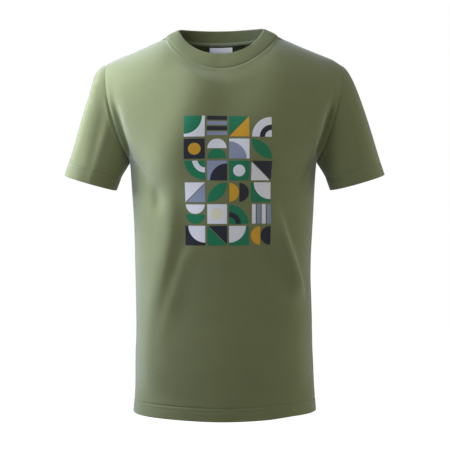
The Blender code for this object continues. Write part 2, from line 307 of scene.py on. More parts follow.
sleeve = {
    "hemReach": 0.2025, "hemDrop": 0.220, "hemHeight": 0.020, "hemSlope": math.radians(16.6),
    "lean": math.radians(20), "halfWidth": 0.042, "halfDepth": 0.052,
    "capFullness": 0.080, "underFullness": 0.025, "outerHang": 0.130, "innerHang": 0.025,
    "underSpread": math.radians(24), "rows": 96,
}
sleeveOut = np.array([math.cos(sleeve["hemSlope"]), 0.0, math.sin(sleeve["hemSlope"])])


def armholePoints(turns):  # on the right; a turn of 0 is at the shoulder tip and a quarter in front
    drop = mix(body["shoulderDrop"], body["underarmDrop"], (1 - np.cos(turns)) / 2)
    ahead, behind = [atColumn(np.ones_like(turns), drop, form) for form in forms.values()]
    return np.where((turns <= pi)[:, None], ahead, behind)


def slantedDown(angle):
    return np.array([math.sin(angle), 0.0, -math.cos(angle)])


def sleeveHemPoint(turns, height):
    middle = np.array([sleeve["hemReach"], 0.0, -sleeve["hemDrop"]])
    reach = np.cos(turns)[..., None] * sleeveOut * sleeve["halfWidth"]
    depth = np.sin(turns)[..., None] * np.array([0.0, -sleeve["halfDepth"], 0.0])
    return middle + reach + depth - slantedDown(sleeve["lean"]) * height


def sleevePoints(turns, shares):
    under = ((1 - np.cos(turns)) / 2)[None, :, None]
    s = shares[:, None, None]
    slope = body["shoulderDrop"] / (body["shoulderHalf"] - body["neckHalf"])
    offShoulder = unit(np.array([1.0, 0.0, -slope]))
    leave = unit(mix(offShoulder, slantedDown(sleeve["underSpread"]), under))
    leave = leave * mix(sleeve["capFullness"], sleeve["underFullness"], under)
    arrive = slantedDown(sleeve["lean"]) * mix(sleeve["outerHang"], sleeve["innerHang"], under)
    straight = mix(armholePoints(turns)[None], sleeveHemPoint(turns, sleeve["hemHeight"])[None], s**2 * (3 - 2 * s))
    return straight + leave * s * (1 - s) ** 2 - arrive * s**2 * (1 - s)


sleeveTurns = pi * np.arange(2 * body["yokeRows"]) / body["yokeRows"]
even = np.arange(sleeve["rows"] + 1) / sleeve["rows"]
sleeveShares = 0.55 * even + 0.45 * (1 - np.cos(pi * even)) / 2

grids = {}
for name, form in forms.items():
    u, drop = panelPlaces(form)
    points = atColumn(u[None, :], drop, form)
    across, along = flatPlaces(points)
    points = eased(points, across, along, form)
    grids[name] = {"u": u, "drop": drop, "points": points, "across": across, "along": along}
    grids[name]["normals"] = gridNormals(points)

# The sleeve's turns run from the front to the back, so its columns are turned round to face outwards
sleeveBase = sleevePoints(sleeveTurns, sleeveShares)[:, ::-1]
sleeveNormals = gridNormals(sleeveBase, closed=True)


def nearestOn(line, points):  # the number of each point's nearest one on the line, and the gap to it
    tree = KDTree(len(line))
    for n, p in enumerate(line):
        tree.insert(p, n)
    tree.balance()
    found = [tree.find(p)[1:] for p in points]
    return np.array([f[0] for f in found]), np.array([f[1] for f in found])


def seamDirections(points, *surfaces):  # into the shirt, between the surfaces that meet at the seam
    made = np.zeros_like(points)
    for surfacePoints, normals in surfaces:
        made -= normals[nearestOn(surfacePoints, points)[0]]
    return unit(made)


def neckLoop(count, columns=900):  # evenly spaced points round the neck seam, and its length
    parts = []
    for form, ends in ((front, [-1, 1]), (back, [1, -1])):
        u = columnAt(body["neckHalf"], 0.0, form) * np.sin(pi / 2 * np.linspace(*ends, columns))
        parts.append(atColumn(u, columnTop(u, form), form))
    closed = joined(np.concatenate([parts[0], parts[1][1:-1]]), axis=0)
    gone = walked(closed, 0)
    wanted = np.arange(count) / count * gone[-1]
    made = np.stack([np.interp(wanted, gone, closed[:, n]) for n in range(3)], axis=1)
    spread = max(1, int(round(0.004 / gone[-1] * count)))
    for turn in range(2):
        made = sum(np.roll(made, k, axis=0) for k in range(-spread, spread + 1)) / (2 * spread + 1)
    return made, gone[-1]


armholeRows, sideRows = slice(0, body["yokeRows"] + 1), slice(body["yokeRows"], None)
armholeBody = [
    np.concatenate([grids["front"][kind][armholeRows, -1], grids["back"][kind][armholeRows, 0]])
    for kind in ("points", "normals")
]
armholeLine = armholePoints(sleeveTurns)
frontTop, backTop = grids["front"]["points"][0], grids["back"]["points"][0]
topNormals = np.concatenate([grids["front"]["normals"][2], grids["back"]["normals"][2]])
shoulderLine = frontTop[np.abs(frontTop[:, 0]) >= body["neckHalf"] - 0.001]
sideLine = grids["front"]["points"][sideRows, -1]
neckLine, neckLength = neckLoop(480)
# Each seam's points and the directions into the shirt at them
seamLines = {
    "armhole": (armholeLine, seamDirections(armholeLine, armholeBody, (sleeveBase[1], sleeveNormals[1]))),
    "shoulder": (shoulderLine, np.tile([0.0, 0.0, -1.0], (len(shoulderLine), 1))),
    "side": (sideLine, np.tile([-1.0, 0.0, 0.0], (len(sideLine), 1))),
    "neck": (neckLine, seamDirections(neckLine, (np.concatenate([frontTop, backTop]), topNormals))),
}
for name in ("armhole", "side"):
    seamLines[name + "Left"] = [part * flip for part in seamLines[name]]

# The dip into each seam and its width, then the ridge over its allowance, how far off it is, and its width
seams = {
    "armhole": (0.0013, 0.0016, 0.0007, 0.0042, 0.0018),
    "shoulder": (0.0006, 0.0012, 0.0004, 0.0036, 0.0016),
    "side": (0.0007, 0.0013, 0.0003, 0.0040, 0.0020),
    "neck": (0.0007, 0.0011, 0.0002, 0.0040, 0.0018),
}
armholeFaint = {"drop": 0.085, "over": 0.04, "share": 0.12}  # the seam is faint above this drop


def drawnIn(points, *names):
    moved = points.reshape(-1, 3).copy()
    for name in names:
        line, into = seamLines[name]
        dip, dipWidth, ridge, away, ridgeWidth = seams[name.removesuffix("Left")]
        nearest, gap = nearestOn(line, points.reshape(-1, 3))
        amount = dip * hump(gap, dipWidth) - ridge * hump(gap, ridgeWidth, away)
        if name.startswith("armhole"):
            amount *= mix(armholeFaint["share"], 1.0, ramp(-moved[:, 2], armholeFaint["drop"], armholeFaint["over"]))
        moved += into[nearest] * amount[:, None]
    return moved.reshape(points.shape)


print("stage: finishes")

inks = {
    "greenInk": (0.006, 0.195, 0.080),
    "whiteInk": (0.80, 0.80, 0.79),
    "charcoalInk": (0.018, 0.019, 0.028),
    "yellowInk": (0.68, 0.36, 0.020),
    "paleInk": (0.82, 0.80, 0.55),
    "greyInk": (0.27, 0.31, 0.40),
}


def setInputs(tree, node, inputs):  # each input gets a value or another node's output
    for place, value in inputs.items():
        if isinstance(value, bpy.types.NodeSocket):
            tree.links.new(value, node.inputs[place])
        else:
            node.inputs[place].default_value = value
    return node


def addNode(tree, kind, inputs={}, **settings):
    node = tree.nodes.new(kind)
    for name, value in settings.items():
        setattr(node, name, value)
    return setInputs(tree, node, inputs)


def maths(tree, operation, *values):
    return addNode(tree, "ShaderNodeMath", dict(enumerate(values)), operation=operation).outputs[0]


def newGroup(name, kind, inputs, outputs):  # an input is given as its default number or as its type
    tree = bpy.data.node_groups.new(name, kind)
    for label, value in inputs.items():
        number = isinstance(value, float)
        socket = "NodeSocketFloat" if number else "NodeSocket" + value
        made = tree.interface.new_socket(label, in_out="INPUT", socket_type=socket)
        if number:
            made.default_value = value
    for label, socket in outputs.items():
        tree.interface.new_socket(label, in_out="OUTPUT", socket_type="NodeSocket" + socket)
    return tree, tree.nodes.new("NodeGroupInput").outputs, tree.nodes.new("NodeGroupOutput")


# Rows of V-shaped loops on a UV map in metres, with uneven yarn and painted shade in the gaps between the loops; used
# by every knitted cloth
def knitGroup():
    tree, given, result = newGroup("knitLoops", "ShaderNodeTree", {
        "Wale Width": 0.0008, "Course Height": 0.0006, "Yarn Unevenness": 0.5, "Seed": 0.0,
    }, {"Height": "Float", "Tone And Loop Shade": "Float", "Fuzz": "Float"})

    def step(operation, *values):
        return maths(tree, operation, *values)

    place = addNode(tree, "ShaderNodeUVMap", uv_map="cloth")
    parts = addNode(tree, "ShaderNodeSeparateXYZ", {0: place.outputs[0]}).outputs
    across = step("DIVIDE", parts[0], given["Wale Width"])
    along = step("DIVIDE", parts[1], given["Course Height"])
    wale = step("ABSOLUTE", step("MULTIPLY_ADD", step("FRACT", across), 2.0, -1.0))
    arch = step("MULTIPLY_ADD", wale, 0.55, along)
    loop = step("MULTIPLY_ADD", step("SINE", step("MULTIPLY", arch, 2 * pi)), 0.5, 0.5)
    crown = step("SQRT", step("SUBTRACT", 1.0, step("MULTIPLY", wale, wale)))
    relief = step("MULTIPLY", crown, step("MULTIPLY_ADD", loop, 0.6, 0.4))

    def streaks(wide, high, offset):
        at = addNode(tree, "ShaderNodeCombineXYZ", {
            0: step("MULTIPLY", parts[0], 1 / wide),
            1: step("MULTIPLY", parts[1], 1 / high),
            2: step("ADD", given["Seed"], offset),
        })
        made = addNode(tree, "ShaderNodeTexNoise", {"Scale": 1.0, "Detail": 2.0, "Vector": at.outputs[0]})
        return step("SUBTRACT", made.outputs["Fac"], 0.5)

    uneven = step("MULTIPLY", streaks(0.010, 0.0009, 3.0), given["Yarn Unevenness"])
    fibres = streaks(0.0007, 0.0007, 23.0)
    tone = step("ADD", step("MULTIPLY", streaks(0.060, 0.045, 11.0), 0.35), uneven)
    tone = step("MULTIPLY_ADD", fibres, 0.30, tone)
    # painted shade: the loops' crowns a little lighter and the gaps between them darker
    tone = step("MULTIPLY_ADD", relief, 0.10, tone)
    setInputs(tree, result, {
        "Height": step("MULTIPLY_ADD", uneven, 0.5, relief), "Tone And Loop Shade": tone,
        "Fuzz": step("MULTIPLY_ADD", fibres, 0.5, 0.5),
    })
    return tree


knitLoops = knitGroup()


def nodesOf(holder):
    holder.use_nodes = True
    return holder.node_tree


def knitMaterial(name, colour, wale=0.0008, course=0.0006, uneven=0.5, relief=0.00012, contrast=0.22, seed=0.0,
                 roughness=0.88, sheen=0.55, gloss=0.22):
    made = bpy.data.materials.new(name)
    tree = nodesOf(made)
    knit = addNode(tree, "ShaderNodeGroup", {
        "Wale Width": wale, "Course Height": course, "Yarn Unevenness": uneven, "Seed": seed,
    }, node_tree=knitLoops).outputs
    # the tone, with its painted shade between the loops, picks between a darker and a lighter copy of the colour
    shade = addNode(tree, "ShaderNodeMix", {
        "A": (*[c * (1 - contrast) for c in colour], 1),
        "B": (*[min(1, c * (1 + contrast)) for c in colour], 1),
        "Factor": maths(tree, "ADD", knit["Tone And Loop Shade"], 0.45),
    }, data_type="RGBA", clamp_factor=True)
    bump = addNode(tree, "ShaderNodeBump", {"Strength": 0.6, "Distance": relief, "Height": knit["Height"]})
    setInputs(tree, tree.nodes["Principled BSDF"], {
        "Base Color": shade.outputs["Result"], "Normal": bump.outputs["Normal"],
        "Roughness": maths(tree, "MULTIPLY_ADD", knit["Fuzz"], 0.10, roughness - 0.05),
        "Specular IOR Level": gloss, "Sheen Weight": sheen, "Sheen Roughness": 0.45,
        "Sheen Tint": (0.94, 1.0, 0.94, 1),
    })
    return made


finishes = {
    "jersey": knitMaterial("oliveJersey", (0.182, 0.200, 0.082)),
    "rib": knitMaterial("oliveRib", (0.176, 0.193, 0.079), wale=0.0009, course=0.0007, seed=5.0),
    "tape": knitMaterial("tapeJersey", (0.270, 0.300, 0.170), wale=0.0006, course=0.0005, seed=9.0),
    "thread": knitMaterial("sewingThread", (0.220, 0.245, 0.130), wale=0.0004, course=0.0003, relief=0.00005,
                           sheen=0.2, gloss=0.4, roughness=0.6),
    "label": knitMaterial("labelSatin", (0.80, 0.80, 0.78), wale=0.00035, course=0.00030, relief=0.00004,
                          contrast=0.06, sheen=0.15, gloss=0.5, roughness=0.5),
}
for name, colour in inks.items():
    finishes[name] = knitMaterial(name, colour, relief=0.00007, contrast=0.07, uneven=0.2, sheen=0.0, gloss=0.45,
                                  roughness=0.52)


def placed(name, data):
    made = bpy.data.objects.new(name, data)
    scene.collection.objects.link(made)
    return made


def readAll(items, what, kind, width=1):
    values = np.empty(len(items) * width, kind)
    items.foreach_get(what, values)
    return values


def addMesh(name, points, faces, corners, material):  # corners: each face corner's place on the flat cloth
    mesh = bpy.data.meshes.new(name)
    mesh.from_pydata(points.tolist(), [], faces.tolist())
    mesh.update()
    mesh.uv_layers.new(name="cloth").data.foreach_set("uv", corners.astype(np.float32).ravel())
    mesh.shade_smooth()
    mesh.materials.append(material)
    return placed(name, mesh)


def cells(grid):  # the four corners of each cell, as seen from outside
    return np.stack([grid[:-1, :-1], grid[1:, :-1], grid[1:, 1:], grid[:-1, 1:]], axis=2)


# A closed grid joins its last column to its first, and the flat places past the join carry on
def gridObject(name, points, across, along, finish, closed=False, closedDown=False):
    index = np.arange(points[..., 0].size).reshape(points.shape[:2])
    if closed:
        index, along = joined(index), joined(along)
        across = np.concatenate([across, 2 * across[:, -1:] - across[:, -2:-1]], axis=1)
    if closedDown:
        index, across = joined(index, 0), joined(across, 0)
        along = np.concatenate([along, 2 * along[-1:] - along[-2:-1]], axis=0)
    corners = cells(np.stack([across, along], axis=-1))
    return addMesh(name, settled(points).reshape(-1, 3), cells(index).reshape(-1, 4), corners, finishes[finish])


def finishPiece(piece, slot, *nodes):
    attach(piece, "root")
    if nodes:
        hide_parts(*nodes)
    return piece


def thickened(piece, thickness):
    wall = piece.modifiers.new("wall", "SOLIDIFY")
    wall.thickness = thickness
    wall.offset = -1
    wall.use_even_offset = False
    return piece


def clothPiece(name, node, points, across, along, finish, thickness, closed=False):
    made = gridObject(name, points, across, along, finish, closed)
    return finishPiece(thickened(made, thickness), finish, node)


print("stage: front and back")

# The chest fills the front on both sides; below it hang soft folds, the main ones where the photograph shows them.
# Each has a height in millimetres, a width left and right of its crest, the shares of its length over which its
# ends fade, its route on the flat cloth, and perhaps a trough beside it: depth, offset and width.
evenEnds = (0.35, 0.35)
frontFolds = [
    (11.0, 44, 40, (0.42, 0.22),
     [(-50, 10), (-39, 32), (-33, 56), (-34, 86), (-43, 116), (-56, 146), (-72, 174), (-99, 206), (-118, 230)]),
    (6.5, 44, 50, (0.45, 0.35), [(50, 74), (54, 110), (56, 150), (60, 190), (64, 225)]),
    (3.4, 19, 45, (0.3, 0.1), [(-92, 340), (-104, 400), (-111, 465), (-113, 545)]),
    (2.8, 45, 19, (0.3, 0.1), [(92, 340), (104, 400), (111, 465), (113, 545)]),
    (7.0, 24, 15, (0.38, 0.42),
     [(-88, 214), (-83, 228), (-79, 248), (-77, 270), (-78, 295), (-84, 325), (-91, 355), (-97, 385), (-104, 415),
      (-109, 445)], (0.10, 32, 14)),
    (-3.5, 9, 11, (0.45, 0.5), [(-109, 220), (-103, 236), (-99, 254), (-97, 272)]),
    (2.7, 9, 14, (0.24, 0.45),
     [(-40, 292), (-47, 312), (-55, 330), (-62, 350), (-70, 376), (-79, 404), (-88, 434), (-94, 462)]),
    (10.6, 16, 8.2, (0.42, 0.34), [(73, 236), (80, 266), (90, 300), (104, 337), (117, 372), (128, 402)]),
    (-1.0, 7, 7, evenEnds, [(58, 285), (66, 330), (78, 390)]),
    (0.6, 7, 9, evenEnds, [(-4, 310), (-5, 345), (-3, 380)]),
    (1.4, 4, 5, (0.3, 0.6), [(-152, 178), (-138, 184), (-120, 204)]),
    (-1.2, 4, 5, (0.35, 0.6), [(-148, 196), (-132, 202), (-114, 220)]),
    (1.3, 5, 5, (0.3, 0.6), [(158, 160), (147, 158), (134, 162)]),
    (1.2, 6, 8, evenEnds, [(156, 190), (142, 204), (122, 232)]),
]
backFolds = [
    (3.0, 12, 10, evenEnds, [(-90, 230), (-86, 300), (-92, 370), (-100, 430)]),
    (1.8, 12, 14, evenEnds, [(-38, 270), (-34, 350), (-40, 440)]),
    (1.6, 14, 12, evenEnds, [(34, 260), (30, 340), (38, 430)]),
    (3.2, 10, 12, evenEnds, [(96, 236), (88, 310), (98, 390), (108, 440)]),
    (1.8, 7, 8, evenEnds, [(-158, 176), (-138, 190), (-112, 214)]),
    (1.8, 8, 7, evenEnds, [(158, 174), (140, 188), (116, 216)]),
    (-0.8, 10, 12, evenEnds, [(-60, 84), (0, 96), (60, 84)]),
]
armholeHollow = {
    "front": 0.0064, "back": 0.0016, "away": 0.0120, "near": 0.0080, "far": 0.0200, "from": 0.080, "to": 0.190,
}
unevenness = {"broad": (0.075, 0.0010), "fine": (0.028, 0.00022)}  # size and height of the cloth's own waves
hemDip = {"body": 0.0006, "sleeve": 0.0003, "width": 0.0013}  # how the cloth is drawn in at the top of each hem


def foldedPanel(name, folds, seed):
    grid = grids[name]
    across, along, drop = grid["across"], grid["along"], grid["drop"]
    lift = foldLift(across, drop, folds)
    for n, (size, height) in enumerate(unevenness.values()):
        lift += height * clothNoise(across, drop, size, seed + 7.3 * n)
    toEdge, toTop, toHem = toSides(across), along - along[:1], along[-1:] - along
    lift *= ramp(toEdge, 0, 0.008) * ramp(toTop, 0, 0.030) * ramp(toHem, 0, 0.050)
    reach = ramp(drop, armholeHollow["from"], 0.05) * ramp(drop, armholeHollow["to"], -0.02)
    gap = toEdge - armholeHollow["away"]
    hollow = armholeHollow[name] * reach * hump(gap, np.where(gap < 0, armholeHollow["near"], armholeHollow["far"]))
    lift -= hollow * ramp(toEdge, 0, 0.003)
    points = grid["points"] + grid["normals"] * lift[..., None]
    points = drawnIn(points, "armhole", "armholeLeft", "side", "sideLeft", "shoulder", "neck")
    dip = hemDip["body"] * hump(toHem, hemDip["width"]) * (toHem < 0.01)
    return points - grid["normals"] * dip[..., None]


for name, folds, seed in (("front", frontFolds, 2.0), ("back", backFolds, 31.0)):
    grid = grids[name]
    grid["final"] = foldedPanel(name, folds, seed)
    grid["finalNormals"] = gridNormals(grid["final"])
    grid["piece"] = clothPiece(f"{name}Cloth", f"{name}_panel", grid["final"], grid["across"], -grid["along"],
                               "jersey", body["thickness"])

print("stage: sleeves")

# Place round the sleeve in half turns, width in half turns, height in millimetres, and drift towards the hem
sleeveFolds = {
    "right": [(0.20, 0.10, 1.4, 0.06), (0.42, 0.09, -1.2, 0.06), (0.62, 0.08, 1.0, 0.06),
              (1.45, 0.10, 1.2, 0.06), (1.70, 0.09, -1.0, 0.06)],
    "left": [(0.24, 0.10, 3.0, 0.0), (0.46, 0.10, -2.2, 0.05), (0.55, 0.05, 1.5, -0.02),
             (0.84, 0.12, 4.0, 0.0), (1.40, 0.10, 1.4, 0.06), (1.66, 0.09, -1.0, 0.06)],
}
# The left sleeve is fuller over its cap, and drawn in below it at its outer edge
outerEdge = {"right": {"rise": 0.0, "hollow": 0.0}, "left": {"rise": 0.0030, "hollow": 0.0050}}


def sleeveLift(side, turns, s):  # s runs from 0 at the armhole to 1 at the hem band
    lift = np.zeros(np.broadcast(turns, s).shape)
    outer = (turns + 1) % 2 - 1
    edge = outerEdge[side]
    rise = edge["rise"] * hump(outer, 0.26) * ramp(s, 0, 0.14) * ramp(s, 0.42, -0.20)
    hollow = edge["hollow"] * hump(outer, 0.12) * ramp(s, 0.20, 0.22)
    for place, width, height, drift in sleeveFolds[side]:
        gap = (turns - place - drift * s + 1) % 2 - 1
        lift += height / 1000 * hump(gap, width)
    return rise + (lift * ramp(s, 0, 0.35) - hollow) * mix(1.0, 0.8, ramp(s, 0.6, 0.4))


def onSide(points, side):  # mirrored for the left, with its columns still running to the right
    return points if side == "right" else points[..., ::-1, :] * flip


def foldedSleeve(side):
    lift = sleeveLift(side, (sleeveTurns[::-1] / pi)[None, :], sleeveShares[:, None])
    points = drawnIn(sleeveBase + sleeveNormals * lift[..., None], "armhole")
    toHem = np.linalg.norm(sleeveBase - sleeveBase[-1:], axis=2)
    return onSide(points - sleeveNormals * (hemDip["sleeve"] * hump(toHem, hemDip["width"]))[..., None], side)


def roundPlaces(points):  # distances round a closed grid, the same in each row, and down each of its columns
    step = stepLengths(joined(points), 1).mean(axis=0)
    across = np.tile(np.concatenate([[0], np.cumsum(step)[:-1]]), (len(points), 1))
    return across, walked(points, 0)


for side in sides:
    points = foldedSleeve(side)
    across, along = roundPlaces(points)
    grids[side + "Sleeve"] = {"final": points, "piece": clothPiece(
        f"{side}SleeveCloth", f"sleeve_{side}", points, across, -along, "jersey", body["thickness"], True)}

print("stage: hems")

# Two rows of stitches pucker each band, one at its top and one "stitch" below
hem = {"thickness": 0.0016, "foldSteps": 6, "pucker": 0.00022, "puckerPitch": 0.0052, "stitch": 0.006}
hemRows = [0, 0.0006, 0.0013, 0.0021, 0.003, 0.0042, 0.005, 0.006, 0.007, 0.0085]
hemHeights = np.concatenate([body["hemHeight"] - np.array(hemRows), np.linspace(0.0095, 0.0008, 6)])


def foldedBand(name, node, rim, dip):  # rim(height) is a closed ring of outer points at a height above the fold
    outer = np.array([rim(h) for h in hemHeights])
    normals = gridNormals(outer, closed=True)
    places = roundPlaces(outer)[0][0] / hem["puckerPitch"]
    ripple = np.array([[noise.noise(Vector((a, h * 60, 4.2))) for a in places] for h in hemHeights])
    top = hemHeights[0] - hemHeights
    held = hump(top, 0.0040) + hump(top, 0.0030, hem["stitch"])
    lift = hem["pucker"] * ripple * np.clip(held, 0, 1)[:, None]
    lift -= (dip * hump(top, hemDip["width"]))[:, None]
    lift -= (0.4 * dip * hump(top, 0.0010, hem["stitch"]))[:, None]
    outer = outer + normals * lift[..., None]
    down = unit(outer[-1] - outer[-2])
    rows = list(outer)
    half = hem["thickness"] / 2
    for k in range(1, hem["foldSteps"]):
        turn = pi * k / hem["foldSteps"]
        rows.append(outer[-1] - normals[-1] * half * (1 - math.cos(turn)) + down * half * math.sin(turn))
    rows = np.array(rows + list((outer - normals * hem["thickness"])[::-1]))
    across, along = roundPlaces(rows)
    piece = gridObject(name, rows, across, -along, "jersey", closed=True, closedDown=True)
    return finishPiece(piece, "jersey", node), outer, normals


def bodyHemRing(height):
    ahead, behind = [atColumn(grids[name]["u"], body["hemDrop"] - height, form) for name, form in forms.items()]
    return np.concatenate([ahead, behind[1:-1]])


def sleeveHemRing(height, side):
    turns = sleeveTurns[::-1]
    outwards = unit(np.cos(turns)[:, None] * sleeveOut + np.sin(turns)[:, None] * np.array([0.0, -1.0, 0.0]))
    lift = sleeveLift(side, turns / pi, np.ones_like(turns))
    return onSide(sleeveHemPoint(turns, height) + outwards * lift[:, None], side)


bands = {"bodyHem": foldedBand("bodyHemBand", "body_hem", bodyHemRing, hemDip["body"])}
for side in sides:
    rim = lambda height: sleeveHemRing(height, side)
    bands[side + "SleeveHem"] = foldedBand(f"{side}SleeveHemBand", f"sleeve_hem_{side}", rim, hemDip["sleeve"])

print("stage: collar")

collar = {
    "width": 0.0235, "frontLean": math.radians(22), "backLean": math.radians(20), "sideLean": math.radians(57),
    "thickness": 0.0019, "tuck": 0.0012, "ribs": 300, "columnsPerRib": 7, "outerRows": 12, "crown": 0.0007,
    "ribDepth": 0.00016, "sideFall": 0.0022, "seamDip": 0.0009, "dipWidth": 0.0011,
}


def endTree(tree, geometry, given, result):
    real = addNode(tree, "GeometryNodeRealizeInstances", {0: geometry})
    finish = addNode(tree, "GeometryNodeSetMaterial", {"Geometry": real.outputs[0], "Material": given["Material"]})
    setInputs(tree, result, {"Geometry": finish.outputs[0]})
    return tree


def ribTree():
    tree, given, result = newGroup("ribKnit", "GeometryNodeTree", {
        "Geometry": "Geometry", "Rib Pitch": 0.0015, "Rib Depth": 0.0002, "Material": "Material",
    }, {"Geometry": "Geometry"})
    place = addNode(tree, "GeometryNodeInputNamedAttribute", {"Name": "alongSeam"})
    turns = maths(tree, "DIVIDE", place.outputs[0], given["Rib Pitch"])
    wave = maths(tree, "SINE", maths(tree, "MULTIPLY", turns, 2 * pi))
    outwards = addNode(tree, "GeometryNodeInputNormal")
    offset = addNode(tree, "ShaderNodeVectorMath", {
        0: outwards.outputs[0], "Scale": maths(tree, "MULTIPLY", wave, given["Rib Depth"]),
    }, operation="SCALE")
    move = addNode(tree, "GeometryNodeSetPosition", {"Geometry": given["Geometry"], "Offset": offset.outputs[0]})
    return endTree(tree, move.outputs[0], given, result)


def applyTree(piece, tree, values):
    modifier = piece.modifiers.new("nodes", "NODES")
    modifier.node_group = tree
    identifiers = {s.name: s.identifier for s in tree.interface.items_tree if s.in_out == "INPUT"}
    for label, value in values.items():
        modifier[identifiers[label]] = value
    seen = piece.evaluated_get(bpy.context.evaluated_depsgraph_get())
    made = bpy.data.meshes.new_from_object(seen)
    piece.modifiers.clear()
    made.name = piece.name
    piece.data = made


def collarRings():
    count = collar["ribs"] * collar["columnsPerRib"]
    seam = neckLoop(count)[0]
    along = np.roll(seam, -1, axis=0) - np.roll(seam, 1, axis=0)
    inward = unit(np.stack([-along[:, 1], along[:, 0], np.zeros(count)], axis=1))
    middleLean = mix(collar["frontLean"], collar["backLean"], ramp(seam[:, 1], -0.012, 0.024))
    angle = mix(middleLean, collar["sideLean"], np.clip(seam[:, 0] / body["neckHalf"], -1, 1) ** 2)
    rise = inward * np.sin(angle)[:, None] + np.cos(angle)[:, None] * np.array([0.0, 0.0, 1.0])
    outward = unit(np.cross(unit(along), rise))
    width, half = collar["width"], collar["thickness"] / 2
    heights = np.concatenate([[-collar["tuck"], 0.0], width * np.linspace(0, 1, collar["outerRows"] + 1)[1:]])
    heights = heights[heights <= width - half]
    profile = [(h, collar["crown"] * math.sin(pi * max(0, h) / width)) for h in heights[::-1]]
    fold = [(width - half + half * math.sin(t), -half + half * math.cos(t)) for t in np.linspace(pi, 0, 9)[:-1]]
    inner = [(h, -collar["thickness"] + 0.6 * out) for h, out in profile[::-1]]
    return seam, rise, outward, inner + fold + profile


seam, rise, outward, ring = collarRings()
atSides = hump(np.abs(seam[:, 0]) / body["neckHalf"], 0.10, 1)
rows = []
for height, out in ring:
    outside = out > -collar["thickness"] / 2
    dip = collar["seamDip"] * hump(max(0.0, height), collar["dipWidth"]) if outside else 0.0
    rows.append(seam + rise * height + outward * (out - dip))
    rows[-1][:, 2] -= collar["sideFall"] * atSides * smooth(height / collar["width"])
across = np.tile(np.arange(len(seam)) / len(seam) * neckLength, (len(rows), 1))
along = np.tile(np.cumsum([0] + [math.dist(a, b) for a, b in zip(ring, ring[1:])])[:, None], (1, len(seam)))
collarPiece = gridObject("ribCollar", np.array(rows), across, -along, "rib", closed=True, closedDown=True)
attribute = collarPiece.data.attributes.new("alongSeam", "FLOAT", "POINT")
attribute.data.foreach_set("value", across.astype(np.float32).ravel())
applyTree(collarPiece, ribTree(), {
    "Rib Pitch": neckLength / collar["ribs"], "Rib Depth": collar["ribDepth"], "Material": finishes["rib"],
})
finishPiece(collarPiece, "rib", "collar")

print("stage: tapes and label")

tapes = {
    "width": 0.0042, "shoulderWidth": 0.0070, "halfLength": 0.064, "above": 0.0043, "depth": 0.0022,
    "thickness": 0.0006, "shoulderEnd": 0.006, "wave": 0.0042,
}
label = {"width": 0.035, "height": 0.024, "thickness": 0.0005, "below": 0.0012}


def insideBack(x, above):  # a place inside the back of the neck, at a height over the neck seam
    below = -np.minimum(0, above)
    seamDrop = rimDrop(x, back)
    seam = atPlace(x, seamDrop, back)
    lower = seamDrop + below
    onCloth = atPlace(x, lower, back) - placeNormal(x, lower, back) * tapes["depth"]
    hanging = seam - placeNormal(x, seamDrop, back) * tapes["depth"] - below[..., None] * np.array([0.0, 0.0, 1.0])
    onCloth = mix(hanging, onCloth, ramp(below, 0.006, 0.026)[..., None])
    angle = mix(collar["backLean"], collar["sideLean"], (x / body["neckHalf"]) ** 2)
    up = np.stack([0.0 * x, -np.sin(angle), np.cos(angle)], axis=-1) * above[..., None]
    onRib = seam + up - np.array([0.0, collar["thickness"] + 0.0006, 0.0])
    return mix(onCloth, onRib, ramp(above, -0.0015, 0.003)[..., None])


gridX, share = np.meshgrid(np.linspace(tapes["halfLength"], -tapes["halfLength"], 120), np.linspace(0, 1, 13))
points = insideBack(gridX, tapes["above"] - tapes["width"] * share)
waves = 0.00012 * np.sin(gridX * 2 * pi / tapes["wave"]) * np.abs(2 * share - 1)
points[..., 1] -= 0.0003 * np.sin(pi * share) - waves
neckTapePiece = clothPiece("neckTape", "neck_tape", points, -gridX, -tapes["width"] * share, "tape", tapes["thickness"])

x = np.linspace(body["neckHalf"] + tapes["shoulderEnd"], body["shoulderHalf"] - tapes["shoulderEnd"], 60)
gridX, gridY = np.meshgrid(x, tapes["shoulderWidth"] * np.linspace(0.5, -0.5, 9))
gridZ = -ridgeDrop(gridX) - tapes["depth"] - 0.0001 * np.sin(gridX * 2 * pi / tapes["wave"])
for side in sides:
    points = onSide(np.stack([gridX, gridY, gridZ], axis=-1), side)
    clothPiece(f"{side}ShoulderTape", f"shoulder_tape_{side}", points, gridX, gridY, "tape", tapes["thickness"])

gridX, share = np.meshgrid(np.linspace(label["width"] / 2, -label["width"] / 2, 40), np.linspace(0, 1, 28))
gridDrop = label["below"] + label["height"] * share
points = insideBack(gridX, -gridDrop)
points[..., 1] -= 0.0014 * share**2 + 0.0005 * np.sin(gridX / label["width"] * 5 + 1) * share
labelPiece = clothPiece("bareLabel", "neck_label", points, -gridX, -gridDrop, "label", label["thickness"])

print("stage: chest print")

chestPrint = {
    "columns": 4, "tile": 0.0285, "gap": 0.0030, "top": 0.1230, "offset": 0.007,
    "above": 0.00012, "thickness": 0.00010, "steps": 14,
}


def onFront(x, drop, above):  # a point over the finished front, and its place on the flat cloth
    grid = grids["front"]
    u = columnAt(x, drop, front)
    column = np.interp(u, grid["u"], np.arange(len(grid["u"])))
    top = columnTop(u, front)
    down = np.clip((drop - top) / (body["underarmDrop"] - top), 0, 1)
    inYoke = body["yokeRows"] / (pi / 2) * np.arccos(1 - down)
    inBody = np.interp(drop, grid["drop"][sideRows, 0], np.arange(body["yokeRows"], len(grid["drop"])))
    row = np.where(drop < body["underarmDrop"], inYoke, inBody)
    kinds = ("final", "finalNormals", "across", "along")
    point, normal, across, along = [between(grid[kind], row, column) for kind in kinds]
    return point + unit(normal) * above, np.stack([across, -along], axis=-1)


